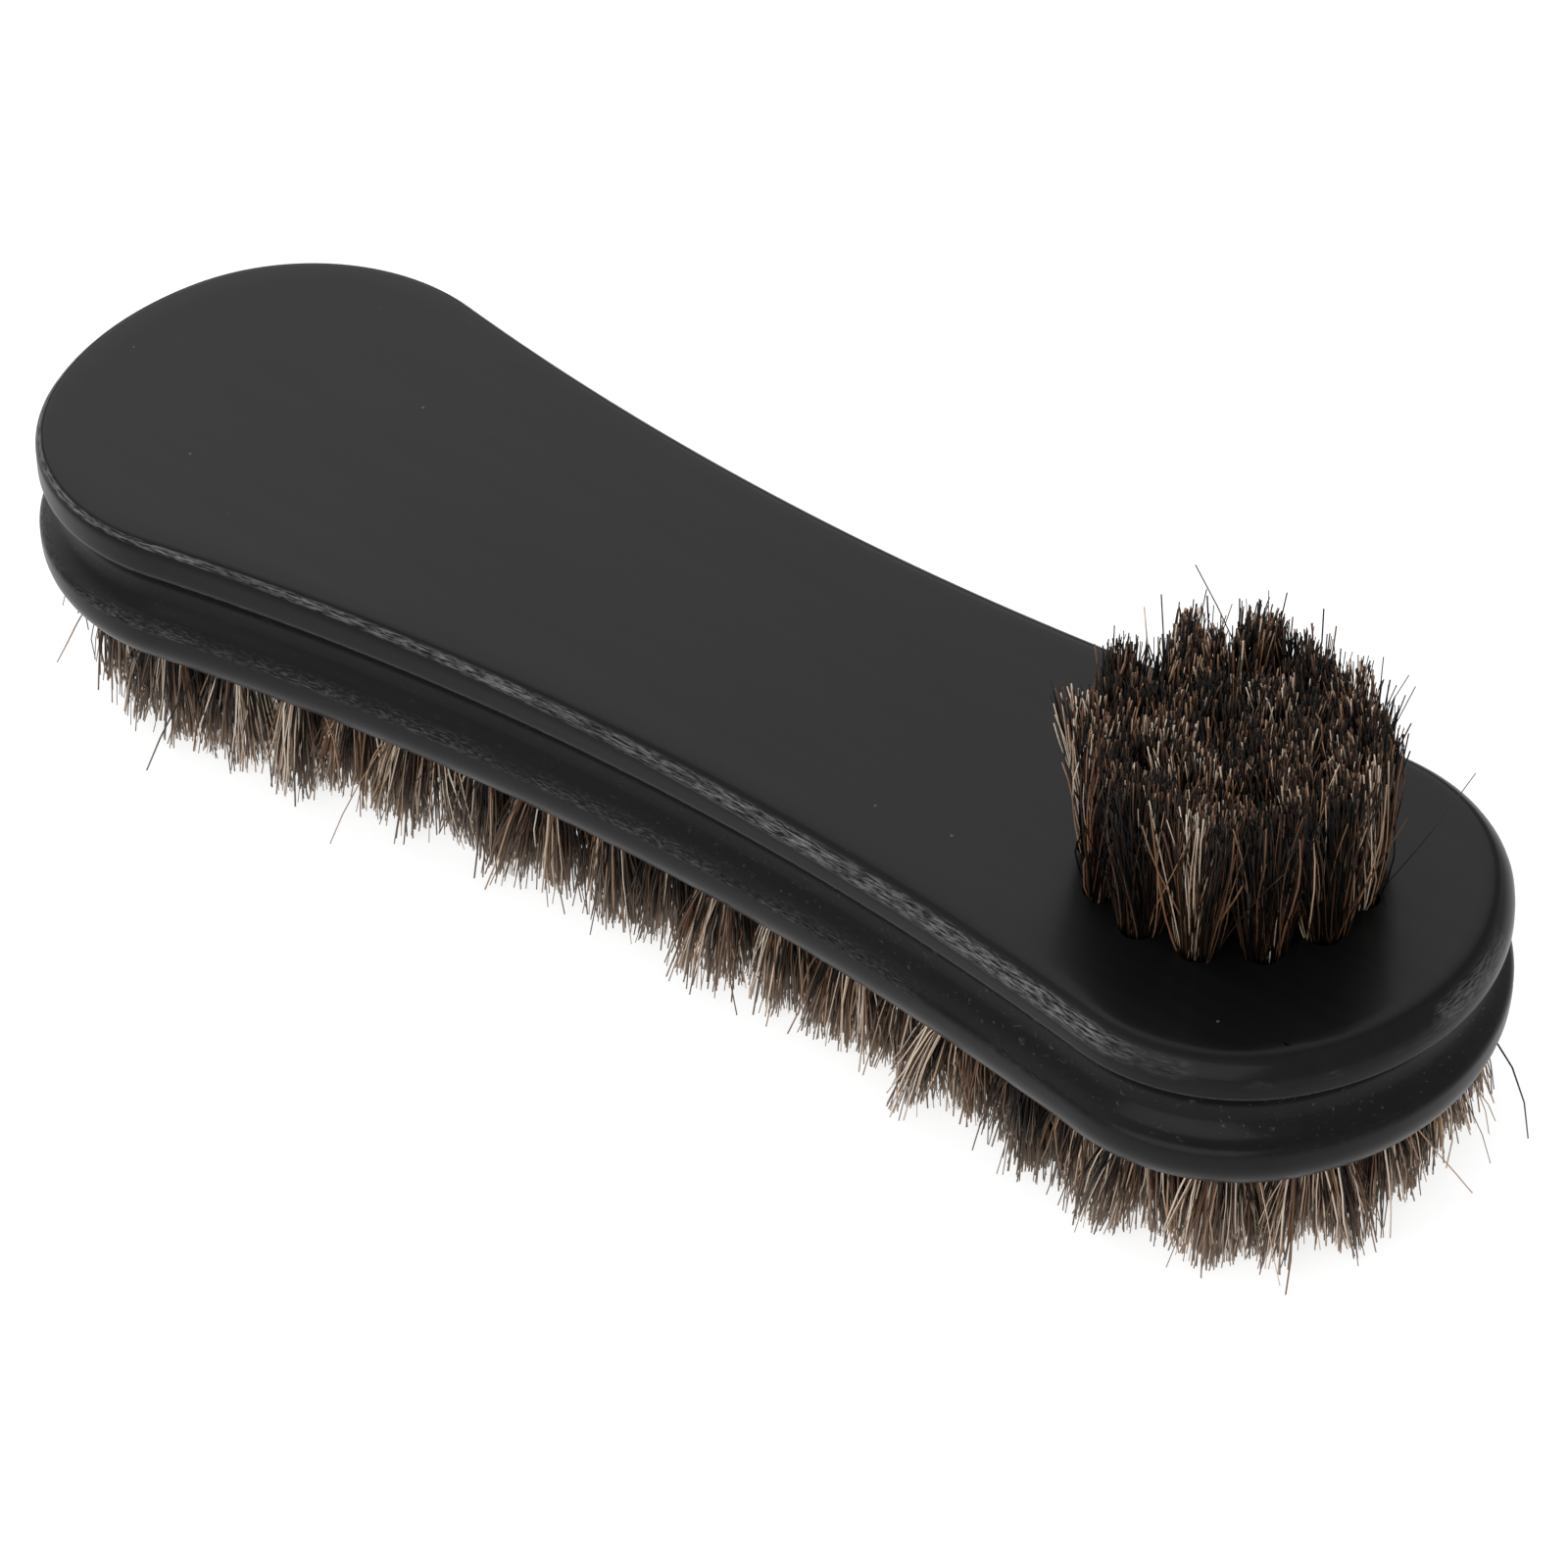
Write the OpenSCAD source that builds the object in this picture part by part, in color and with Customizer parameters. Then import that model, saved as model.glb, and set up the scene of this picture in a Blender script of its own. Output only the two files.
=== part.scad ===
// Shoe shine brush: a one-piece wooden block with a finger groove routed round its side, a sole of
// horsehair tufts under it, and a round dauber of tufts that stands on its top at one end.
// The origin lies on the plane that the sole stands on, under the middle of the block.
// +X runs along the block to the dauber's end and +Z is up. All sizes are millimetres.

/* [Block outline] */
// Length of the block from nose to nose
block_len = 175; // [150:1:200]
// Width of the bulb at the dauber's end
front_w = 53.4; // [48:0.2:60]
// How much the front nose's radius is over half the front bulb's width
front_nose_over = 3; // [1:0.2:12]
// How much the front shoulders' radius is under half the front bulb's width
front_shoulder_under = 5.1; // [2:0.1:9]
// Width of the bulb at the far end
back_w = 54.4; // [48:0.2:60]
// How much the back nose's radius is over half the back bulb's width
back_nose_over = 7.2; // [1:0.2:12]
// How much the back shoulders' radius is under half the back bulb's width
back_shoulder_under = 3.6; // [2:0.1:9]
// Width of the block at its waist
waist_w = 41.9; // [38:0.1:46]

/* [Block edge] */
// Height of the lower lip, under the finger groove
lower_lip_h = 6.3; // [5:0.1:9]
// Height of the finger groove's mouth
groove_h = 6.5; // [5.5:0.1:8]
// Depth of the finger groove, from the lips inwards
groove_depth = 2.6; // [1:0.1:2.7]
// Height of the upper lip, over the finger groove
upper_lip_h = 4.2; // [3:0.1:8]
// How far the upper lip stands back from the lower lip
upper_lip_back = 0.4; // [0.1:0.1:1]
// Radius of the lower lip's rounded bottom edge
bottom_edge_r = 4.5; // [1:0.1:4.8]
// Radius of the rounded edge of the flat top
top_edge_r = 1.8; // [0.6:0.1:2.8]

/* [Sole] */
// Length of the sole's hair, from the block down to the surface that the brush stands on
sole_len = 13; // [8:0.5:25]
// Flat wood left between the rounded bottom edge and the outer row's holes and anchors
outer_row_margin = 0.2; // [0.2:0.1:1.5]
// Distance from one row of holes to the next
row_gap = 7.3; // [6.6:0.1:8]
// Distance from one hole to the next along a row
tuft_pitch = 7.9; // [7.4:0.1:10]
// Least wood between a hole beside the centre line and its neighbours
hole_wall = 1.6; // [1.4:0.1:2.4]
// Diameter of a hole of the sole
sole_hole_d = 3.8; // [3:0.1:4.2]
// Locks of hair that a tuft of the sole is shown with
sole_locks = 3; // [2:1:3]
// How far the locks of a sole tuft spread from its middle at their tips
sole_spread = 2.1; // [1:0.1:2.4]
// How far the outer row's hair leans out at its tips
sole_lean = 1.2; // [0:0.1:1.5]

/* [Dauber] */
// Distance of the dauber's middle from the front end of the block
dauber_from_end = 28.8; // [24:0.1:36]
// Distance of the dauber's middle from the block's centre line, as on the photographed brush
dauber_y = 1.5; // [-2:0.1:2]
// Length of the dauber's hair, from the block up
dauber_len = 19.6; // [12:0.2:30]
// Radius of the dauber's inner ring of holes
inner_ring_r = 6.9; // [6:0.1:7.2]
// Number of tufts in the inner ring
inner_ring_count = 7; // [5:1:7]
// Radius of the dauber's outer ring of holes
outer_ring_r = 13.5; // [13:0.1:14.4]
// Number of tufts in the outer ring
outer_ring_count = 13; // [8:1:13]
// Diameter of a hole of the dauber
dauber_hole_d = 3.6; // [3:0.1:4]
// Locks of hair that a tuft of the dauber is shown with
dauber_locks = 4; // [2:1:5]
// How far the locks of a dauber tuft spread from its middle at their tips
dauber_spread = 1.8; // [1:0.1:2.2]
// How far the outer ring's hair leans out at its tips
dauber_lean = 0.7; // [0:0.1:1.5]

/* [Holes and anchors] */
// Depth of the drilled holes
hole_depth = 7; // [5:0.5:7.5]
// Gap all round between a tuft's root and the wall of its hole
root_gap = 0.05; // [0.02:0.01:0.1]
// Height of the flat wire anchor on the floor of each hole
anchor_h = 1.5; // [1:0.1:2.5]
// Thickness of the flat wire
anchor_t = 0.5; // [0.3:0.1:0.8]
// How far an anchor bites into the wood at each end
anchor_bite = 0.3; // [0.1:0.1:0.5]

/* [Hair] */
// Thickness of a lock of hair halfway along it
lock_w = 1.1; // [0.6:0.1:1.3]
// Thickness of a lock of hair at its tip
lock_tip_w = 0.6; // [0.3:0.1:1]
// How much the locks differ in length
ragged = 1.4; // [0:0.1:2.5]
// How deep the sole's longest hair is cut off flat by the surface that the brush stands on
sole_cut = 0.5; // [0.2:0.1:1]

/* [Hidden] */
block_h = lower_lip_h + groove_h + upper_lip_h;
underside_z = sole_len;
top_z = underside_z + block_h;
overcut = 1;
dauber_at = [block_len / 2 - dauber_from_end, dauber_y];

// The block's outline is a closed chain of arcs that run into each other smoothly. Each arc is
// [centre, radius, start angle, end angle], where an angle is also the direction straight out of the
// wood there. The waist bends inwards, so its radius is negative.
front_nose_r = front_w / 2 + front_nose_over;
front_shoulder_r = front_w / 2 - front_shoulder_under;
front_turn = asin(front_shoulder_under / (front_shoulder_under + front_nose_over));
front_nose_at = [block_len / 2 - front_nose_r, 0];
front_shoulder_at = front_nose_at + (front_nose_r - front_shoulder_r) * [cos(front_turn), sin(front_turn)];

back_nose_r = back_w / 2 + back_nose_over;
back_shoulder_r = back_w / 2 - back_shoulder_under;
back_turn = asin(back_shoulder_under / (back_shoulder_under + back_nose_over));
back_nose_at = [back_nose_r - block_len / 2, 0];
back_shoulder_at = back_nose_at + (back_nose_r - back_shoulder_r) * [-cos(back_turn), sin(back_turn)];

// The waist's arc touches both shoulders and passes the centre line at half the waist's width. The
// radius that touches one shoulder is (square of the distance along the block + rise) / narrowing, and
// the middle of the waist is where both shoulders ask for the same radius.
front_rise = pow(waist_w / 2 - front_shoulder_at.y, 2) - pow(front_shoulder_r, 2);
back_rise = pow(waist_w / 2 - back_shoulder_at.y, 2) - pow(back_shoulder_r, 2);
front_narrowing = front_w - waist_w;
back_narrowing = back_w - waist_w;
quad_a = back_narrowing - front_narrowing;
quad_b = 2 * (front_narrowing * back_shoulder_at.x - back_narrowing * front_shoulder_at.x);
quad_c = back_narrowing * (pow(front_shoulder_at.x, 2) + front_rise)
    - front_narrowing * (pow(back_shoulder_at.x, 2) + back_rise);
waist_x = 2 * quad_c / (sqrt(quad_b * quad_b - 4 * quad_a * quad_c) - quad_b);
waist_r = (pow(waist_x - front_shoulder_at.x, 2) + front_rise) / front_narrowing;
waist_at = [waist_x, waist_w / 2 + waist_r];
front_waist_turn = heading(waist_at - front_shoulder_at);
back_waist_turn = heading(waist_at - back_shoulder_at);

left_arcs = [
    [front_shoulder_at, front_shoulder_r, front_turn, front_waist_turn],
    [waist_at, -waist_r, front_waist_turn, back_waist_turn],
    [back_shoulder_at, back_shoulder_r, back_waist_turn, 180 - back_turn],
];
arcs = concat(
    [[front_nose_at, front_nose_r, -front_turn, front_turn]],
    left_arcs,
    [[back_nose_at, back_nose_r, 180 - back_turn, 180 + back_turn]],
    [for (i = [2, 1, 0]) mirrored(left_arcs[i])]
);
ARC_NAMES = ["front_nose", "front_left", "waist_left", "back_left",
    "back_nose", "back_right", "waist_right", "front_right"];

function heading(v) = atan2(v.y, v.x);
function mirrored(arc) = [[arc[0].x, -arc[0].y], arc[1], 360 - arc[3], 360 - arc[2]];
function outward(angle) = [cos(angle), sin(angle)];
function on_arc(arc, angle, inset) = arc[0] + (arc[1] - inset) * outward(angle);
function arc_len(arc, inset) = abs((arc[1] - inset) * (arc[3] - arc[2])) * PI / 180;

// The edge's section runs from the underside to the top, as [distance in from the lower lip, height].
// The finger groove is an arc between the facing arrises of the two lips.
groove_chord = [upper_lip_back, groove_h];
groove_up = groove_chord / norm(groove_chord);
groove_in = [groove_up.y, -groove_up.x];
groove_r = (pow(norm(groove_chord) / 2, 2) + pow(groove_depth, 2)) / (2 * groove_depth);
groove_at = [0, lower_lip_h] + groove_chord / 2 - groove_in * (groove_r - groove_depth);
groove_turn = asin(norm(groove_chord) / 2 / groove_r);
groove_facets = 8;
bottom_edge_facets = 5;
top_edge_facets = 4;
upper_lip_z = lower_lip_h + groove_h;
edge_section = concat(
    [for (i = [0 : bottom_edge_facets])
        let (a = 90 * i / bottom_edge_facets)
        bottom_edge_r * [1 - sin(a), 1 - cos(a)]],
    [[0, lower_lip_h]],
    [for (i = [1 : groove_facets - 1])
        let (a = groove_turn * (2 * i / groove_facets - 1))
        groove_at + groove_r * (groove_in * cos(a) + groove_up * sin(a))],
    [[upper_lip_back, upper_lip_z]],
    [for (i = [0 : top_edge_facets])
        let (a = 90 * i / top_edge_facets)
        [upper_lip_back, block_h] + top_edge_r * [1 - cos(a), sin(a) - 1]]
);

// The rim ends in the flat strip between the rounded bottom edge and the outer row
rim_w = bottom_edge_r + outer_row_margin / 2;

// Stations round the outline, as [arc, angle], close enough that the facets don't show
facet_turn = 8;
facet_len = 9;
stations = [for (arc = arcs)
    let (steps = ceil(max(abs(arc[3] - arc[2]) / facet_turn, arc_len(arc, 0) / facet_len)))
    for (i = [0 : steps - 1]) [arc, arc[2] + (arc[3] - arc[2]) * i / steps]];

// A place for a tuft is [x, y, how far its tips lean in x, and in y].
// Rows that follow the outline: places are spaced evenly round the whole row, from the front nose
// on, and each arc of the outline takes those that fall on it.
function row_starts(inset, i = 0, sum = 0) =
    i == len(arcs) ? [sum] : concat([sum], row_starts(inset, i + 1, sum + arc_len(arcs[i], inset)));
function row_places(inset, lean, which) =
    let (
        starts = row_starts(inset),
        total = starts[len(arcs)],
        count = round(total / tuft_pitch),
        arc = arcs[which]
    )
    [for (k = [0 : count - 1])
        let (
            along = starts[1] / 2 + (k + 0.5) * total / count,
            s = along < total ? along : along - total,
            angle = arc[2] + (arc[3] - arc[2]) * (s - starts[which]) / arc_len(arc, inset)
        )
        if (s >= starts[which] && s < starts[which + 1])
            concat(on_arc(arc, angle, inset), lean * outward(angle))];

// The second row leans a third as much as the outer one
second_lean = sole_lean / 3;

// The middle of the sole: a row on the centre line, with one more tuft on each side of it wherever the
// second row leaves room for them
outer_inset = bottom_edge_r + outer_row_margin + anchor_bite + sole_hole_d / 2;
second_inset = outer_inset + row_gap;
centre_end = block_len / 2 - second_inset - row_gap;
centre_count = round(2 * centre_end / tuft_pitch);
side_gap = sole_hole_d + hole_wall;
function half_width(x, inset) =
    max([for (arc = [for (i = [0 : 4]) arcs[i]])
        let (r = arc[1] - inset, dx = x - arc[0].x, angle = acos(max(-1, min(1, dx / r))))
        if (abs(dx) <= abs(r) && angle >= min(arc[2], arc[3]) - 0.01 && angle <= max(arc[2], arc[3]) + 0.01)
            arc[0].y + r * sin(angle)]);
function centre_places(from, to) =
    [for (k = [0 : centre_count])
        let (
            x = centre_end * (1 - 2 * k / centre_count),
            y = half_width(x, second_inset) / 2
        )
        if (x >= from && x < to)
            each concat([[x, 0, 0, 0]], y < side_gap ? [] : [[x, y, 0, 0], [x, -y, 0, 0]])];
waist_end = block_len / 4;
centre_spans = [[waist_end, block_len], [-waist_end, waist_end], [-block_len, -waist_end]];
CENTRE_NAMES = ["front", "waist", "back"];

// The dauber: a tuft in the middle and two rings round it
function ring_places(r, count) =
    [for (k = [0 : count - 1])
        let (at = r * outward((k + 0.5) * 360 / count))
        concat(dauber_at + at, at * dauber_lean / outer_ring_r)];
dauber_places = concat([concat(dauber_at, [0, 0])], ring_places(inner_ring_r, inner_ring_count),
    ring_places(outer_ring_r, outer_ring_count));

outer_row = [for (i = [0 : len(arcs) - 1]) row_places(outer_inset, sole_lean, i)];
second_row = [for (i = [0 : len(arcs) - 1]) row_places(second_inset, second_lean, i)];
centre_row = [for (span = centre_spans) centre_places(span[0], span[1])];
sole_places = [for (row = [outer_row, second_row, centre_row]) for (part = row) each part];

function two_digits(n) = str(n < 10 ? "0" : "", n);
OUTER_NAMES = [for (n = ARC_NAMES) str("sole_outer_row_", n)];
SECOND_NAMES = [for (n = ARC_NAMES) str("sole_second_row_", n)];
MIDDLE_NAMES = [for (n = CENTRE_NAMES) str("sole_centre_row_", n)];
DAUBER_NAMES = [for (i = [1 : len(dauber_places)]) str("dauber_tuft_", two_digits(i))];

// The wooden block is drawn as its shaped rim and its drilled middle, which are one piece of wood. The
// holes reach a little into the wood at each end of an anchor, where it bites.
module handle_block() {
    color([0.11, 0.11, 0.115])
    union() {
        translate([0, 0, underside_z]) block_rim();
        difference() {
            translate([0, 0, underside_z]) linear_extrude(block_h)
                polygon([for (s = stations) on_arc(s[0], s[1], rim_w)]);
            holes(sole_places, sole_hole_d, underside_z, -1);
            holes(dauber_places, dauber_hole_d, top_z, 1);
            anchors(sole_places, sole_hole_d, underside_z, -1);
            anchors(dauber_places, dauber_hole_d, top_z, 1);
        }
    }
}

// The edge's section, closed by a plain wall on its inner side, carried round the outline
module block_rim() {
    section = concat(edge_section, [[rim_w, block_h], [rim_w, 0]]);
    n = len(stations);
    rings = len(section);
    polyhedron(
        points = [for (p = section, s = stations) concat(on_arc(s[0], s[1], p[0]), p[1])],
        faces = [for (ring = [0 : rings - 1], i = [0 : n - 1])
            let (low = ring * n, high = (ring + 1) % rings * n, j = (i + 1) % n)
            each wall(low + i, low + j, high + i, high + j)]
    );
}

// way is 1 for holes that open upwards, and -1 for holes that open downwards
module holes(places, hole_d, mouth_z, way) {
    for (p = places)
        translate([p[0], p[1], mouth_z + (way > 0 ? -hole_depth : -overcut)])
            cylinder(d = hole_d, h = hole_depth + overcut, $fn = 32);
}

// Flat wire anchors, on edge across the floors of their holes
module anchors(places, hole_d, mouth_z, way) {
    for (p = places)
        translate([p[0], p[1], mouth_z - way * (hole_depth - anchor_h / 2)])
            cube([hole_d + 2 * anchor_bite, anchor_t, anchor_h], center = true);
}

// A tuft's root is a prism that stands on its anchor and ends at the hole's mouth. Every other slice of
// its end runs on as a lock of hair of three sides, over the root, the middle and the tip.
// A lock's reach at its tip is the tuft's spread, more or less by a fifth, and halfway up it has gone a
// third of the way there.
least_spread_share = 0.8;
most_spread_share = 1.2;
halfway_share = 1 / 3;
function root_corner(place, r, angle, z) = [place[0] + r * cos(angle), place[1] + r * sin(angle), z];
function lock_ring(place, angle, reach, pull, w, z) =
    [for (a = [180, -60, 60])
        [place[0] + reach * cos(angle) + pull * place[2] + w / 2 * cos(angle + a),
            place[1] + reach * sin(angle) + pull * place[3] + w / 2 * sin(angle + a), z]];
function tuft_points(place, seed, locks, root_r, mouth_z, way, hair_len, cut, spread) =
    let (
        chance = rands(0, 1, 1 + 2 * locks, seed),
        slice = 180 / locks,
        turn = 360 * chance[0],
        foot_z = mouth_z - way * (hole_depth - anchor_h),
        root_reach = root_r / sqrt(3)
    )
    concat(
        [for (z = [foot_z, mouth_z], i = [0 : 2 * locks - 1])
            root_corner(place, root_r, turn + i * slice, z)],
        [[place[0], place[1], mouth_z]],
        [for (i = [0 : locks - 1])
            let (
                angle = turn + (2 * i + 0.5) * slice,
                grown = hair_len + cut - ragged * chance[1 + i],
                tip = min(grown, hair_len),
                tip_w = lock_tip_w + (lock_w - lock_tip_w) * (grown - tip) / (grown / 2),
                share_range = most_spread_share - least_spread_share,
                reach = spread * (least_spread_share + share_range * chance[1 + locks + i]),
                mid_reach = root_reach + (reach - root_reach) * halfway_share
            )
            each concat(
                lock_ring(place, angle, mid_reach, halfway_share, lock_w, mouth_z + way * grown / 2),
                lock_ring(place, angle, reach, 1, tip_w, mouth_z + way * tip)
            )]
    );
function tuft_faces(locks) =
    let (sides = 2 * locks, hub = 2 * sides)
    concat(
        [for (i = [1 : sides - 2]) [0, i, i + 1]],
        [for (i = [0 : sides - 1]) each wall(i, (i + 1) % sides, sides + i, sides + (i + 1) % sides)],
        [for (i = [0 : locks - 1])
            let (a = sides + 2 * i, b = a + 1, next = sides + (2 * i + 2) % sides, mid = hub + 1 + 6 * i)
            each concat(
                [[hub, next, b]],
                lock_walls([hub, a, b], [mid, mid + 1, mid + 2]),
                lock_walls([mid, mid + 1, mid + 2], [mid + 3, mid + 4, mid + 5]),
                [[mid + 3, mid + 5, mid + 4]]
            )]
    );
function wall(a, b, up_a, up_b) = [[a, up_a, up_b], [a, up_b, b]];
function lock_walls(low, high) =
    [for (i = [0 : 2]) let (j = (i + 1) % 3) each wall(low[i], low[j], high[i], high[j])];

module tufts(places, seed, locks, hole_d, mouth_z, way, hair_len, cut, spread) {
    faces = tuft_faces(locks);
    points_each = 1 + 10 * locks;
    last = len(places) - 1;
    root_r = hole_d / 2 - root_gap;
    color([0.33, 0.22, 0.15])
    polyhedron(
        points = [for (k = [0 : last])
            each tuft_points(places[k], seed + k, locks, root_r, mouth_z, way, hair_len, cut, spread)],
        faces = [for (k = [0 : last], f = faces)
            let (g = way > 0 ? f : [f[2], f[1], f[0]])
            [for (i = g) i + k * points_each]]
    );
}

module sole_tufts(places, seed) {
    tufts(places, seed, sole_locks, sole_hole_d, underside_z, -1, sole_len, sole_cut, sole_spread);
}

module dauber_tuft(place, seed) {
    tufts([place], seed, dauber_locks, dauber_hole_d, top_z, 1, dauber_len, 0, dauber_spread);
}

module sole_wire_anchors() {
    color([0.72, 0.72, 0.7]) anchors(sole_places, sole_hole_d, underside_z, -1);
}

module dauber_wire_anchors() {
    color([0.72, 0.72, 0.7]) anchors(dauber_places, dauber_hole_d, top_z, 1);
}

handle_block();
for (i = [0 : len(arcs) - 1]) {
    sole_tufts(outer_row[i], 100 + 100 * i);
    sole_tufts(second_row[i], 1100 + 100 * i);
}
for (i = [0 : len(centre_row) - 1]) {
    sole_tufts(centre_row[i], 2100 + 100 * i);
}
for (i = [0 : len(dauber_places) - 1]) {
    dauber_tuft(dauber_places[i], 3100 + 10 * i);
}
sole_wire_anchors();
dauber_wire_anchors();
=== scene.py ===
import math

import bpy
import numpy as np
from mathutils import Matrix, Vector


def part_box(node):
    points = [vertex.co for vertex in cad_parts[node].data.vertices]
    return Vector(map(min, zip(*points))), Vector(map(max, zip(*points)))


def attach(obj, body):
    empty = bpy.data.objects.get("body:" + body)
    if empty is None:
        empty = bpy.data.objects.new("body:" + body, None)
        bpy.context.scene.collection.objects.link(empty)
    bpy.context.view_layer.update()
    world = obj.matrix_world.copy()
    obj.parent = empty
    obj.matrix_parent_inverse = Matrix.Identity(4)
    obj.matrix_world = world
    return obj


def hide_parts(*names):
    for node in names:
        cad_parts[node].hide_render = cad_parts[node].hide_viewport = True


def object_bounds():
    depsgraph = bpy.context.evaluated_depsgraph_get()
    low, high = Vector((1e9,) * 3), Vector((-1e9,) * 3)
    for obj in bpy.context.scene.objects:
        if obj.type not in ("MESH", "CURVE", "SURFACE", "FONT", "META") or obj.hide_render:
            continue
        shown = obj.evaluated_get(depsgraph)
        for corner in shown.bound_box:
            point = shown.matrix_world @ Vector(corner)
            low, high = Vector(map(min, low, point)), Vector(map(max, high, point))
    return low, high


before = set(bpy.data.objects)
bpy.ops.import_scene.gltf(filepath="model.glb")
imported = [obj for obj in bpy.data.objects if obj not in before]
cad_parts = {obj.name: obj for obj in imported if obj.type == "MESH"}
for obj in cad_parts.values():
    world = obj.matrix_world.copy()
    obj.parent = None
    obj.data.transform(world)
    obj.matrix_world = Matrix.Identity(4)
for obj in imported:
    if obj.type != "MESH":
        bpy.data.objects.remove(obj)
cad_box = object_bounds()
mm = 0.001


# Camera: a long lens that looks down on the brush from its right side, as the photograph does.
camera_place = Vector((330.8, -410.9, 464.2)) * mm
camera_azimuth = math.radians(38.46)
camera_elevation = math.radians(40.72)
camera_roll = math.radians(-0.7)
camera_lens_mm = 154.93
sensor_mm = 36

camera_data = bpy.data.cameras.new("camera")
camera_data.lens = camera_lens_mm
camera_data.sensor_width = sensor_mm
camera_data.clip_start = 10 * mm
camera = bpy.data.objects.new("camera", camera_data)
bpy.context.collection.objects.link(camera)
camera.matrix_world = (
    Matrix.Translation(camera_place)
    @ Matrix.Rotation(camera_azimuth, 4, "Z")
    @ Matrix.Rotation(math.radians(90) - camera_elevation, 4, "X")
    @ Matrix.Rotation(camera_roll, 4, "Z")
)
bpy.context.scene.camera = camera
bpy.context.scene.view_settings.view_transform = "Standard"


# Floor and light: a faintly glowing table of white paper, one large soft light by the camera, and a
# white room that is brightest beyond the far end, so its reflection fades along the block's top.
def new_material(name):
    material = bpy.data.materials.new(name)
    material.use_nodes = True
    shader = material.node_tree.nodes["Principled BSDF"]
    return material, shader, material.node_tree.nodes, material.node_tree.links


def deselect_all():
    if bpy.context.object and bpy.context.object.mode != "OBJECT":
        bpy.ops.object.mode_set(mode="OBJECT")
    bpy.ops.object.select_all(action="DESELECT")


def ramp(value, low, high, out_low=0.0, out_high=1.0):
    node = nodes.new("ShaderNodeMapRange")
    for name, number in (("From Min", low), ("From Max", high), ("To Min", out_low), ("To Max", out_high)):
        node.inputs[name].default_value = number
    links.new(value, node.inputs["Value"])
    return node.outputs["Result"]


WHITE = (1, 1, 1, 1)
floor_size = 6
paper_glow = 0.76

deselect_all()
bpy.ops.mesh.primitive_plane_add(size=floor_size)
floor = bpy.context.object
floor.name = "floor"
paper, shader, nodes, links = new_material("white_paper")
shader.inputs["Base Color"].default_value = (0.35, 0.35, 0.35, 1)
shader.inputs["Roughness"].default_value = 0.9
shader.inputs["Specular IOR Level"].default_value = 0.1
shader.inputs["Emission Color"].default_value = WHITE
shader.inputs["Emission Strength"].default_value = paper_glow
floor.data.materials.append(paper)

# The room is brightest in one direction and dims with the angle away from it, down to a plain level.
brightest_way = (-0.686, 0.342, 0.643)
dim_from_cosine = 0.6
room_least = 0.75
room_most = 2.0

world = bpy.data.worlds.new("white_room")
bpy.context.scene.world = world
world.use_nodes = True
nodes, links = world.node_tree.nodes, world.node_tree.links
direction = nodes.new("ShaderNodeTexCoord")
nearness = nodes.new("ShaderNodeVectorMath")
nearness.operation = "DOT_PRODUCT"
nearness.inputs[1].default_value = brightest_way
links.new(direction.outputs["Generated"], nearness.inputs[0])
brightness = ramp(nearness.outputs["Value"], dim_from_cosine, 1.0, room_least, room_most)
links.new(brightness, nodes["Background"].inputs["Strength"])
nodes["Background"].inputs["Color"].default_value = WHITE


def soft_light(name, azimuth, elevation, distance, size, watts):
    data = bpy.data.lights.new(name, "AREA")
    data.shape = "SQUARE"
    data.size = size
    data.energy = watts
    light = bpy.data.objects.new(name, data)
    bpy.context.collection.objects.link(light)
    swing = Matrix.Rotation(math.radians(azimuth), 4, "Z")
    tilt = Matrix.Rotation(math.radians(90 - elevation), 4, "X")
    light.matrix_world = swing @ tilt @ Matrix.Translation((0, 0, distance))


soft_light("key_softbox", azimuth=12, elevation=36, distance=1.3, size=1.4, watts=10)


# The block is one piece of close-grained wood, band-sawn to a peanut outline. A cove cutter has
# routed the finger groove round its side, its edges are rounded over, and it is drilled, stained
# black and lacquered thinly, so that the grain still shows where the cutters tore it.
block_low, block_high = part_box("handle_block")
block_len = block_high[0] - block_low[0]
underside_z = block_low[2]
top_z = block_high[2]

front_w = 53.4 * mm
front_nose_over = 3.0 * mm
front_shoulder_under = 5.1 * mm
back_w = 54.4 * mm
back_nose_over = 7.2 * mm
back_shoulder_under = 3.6 * mm
waist_w = 41.9 * mm

lower_lip_h = 6.3 * mm
groove_h = 6.5 * mm
groove_depth = 2.6 * mm
upper_lip_back = 0.4 * mm
bottom_edge_r = 4.5 * mm
top_edge_r = 1.8 * mm

# The outline is a chain of arcs, each with its centre, its radius and the angle it turns through.
front_nose_r = front_w / 2 + front_nose_over
front_shoulder_r = front_w / 2 - front_shoulder_under
front_turn = math.asin(front_shoulder_under / (front_shoulder_under + front_nose_over))
front_nose_at = Vector((block_len / 2 - front_nose_r, 0))
front_reach = front_nose_r - front_shoulder_r
front_shoulder_at = front_nose_at + front_reach * Vector((math.cos(front_turn), math.sin(front_turn)))
back_nose_r = back_w / 2 + back_nose_over
back_shoulder_r = back_w / 2 - back_shoulder_under
back_turn = math.asin(back_shoulder_under / (back_shoulder_under + back_nose_over))
back_nose_at = Vector((back_nose_r - block_len / 2, 0))
back_reach = back_nose_r - back_shoulder_r
back_shoulder_at = back_nose_at + back_reach * Vector((-math.cos(back_turn), math.sin(back_turn)))

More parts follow.
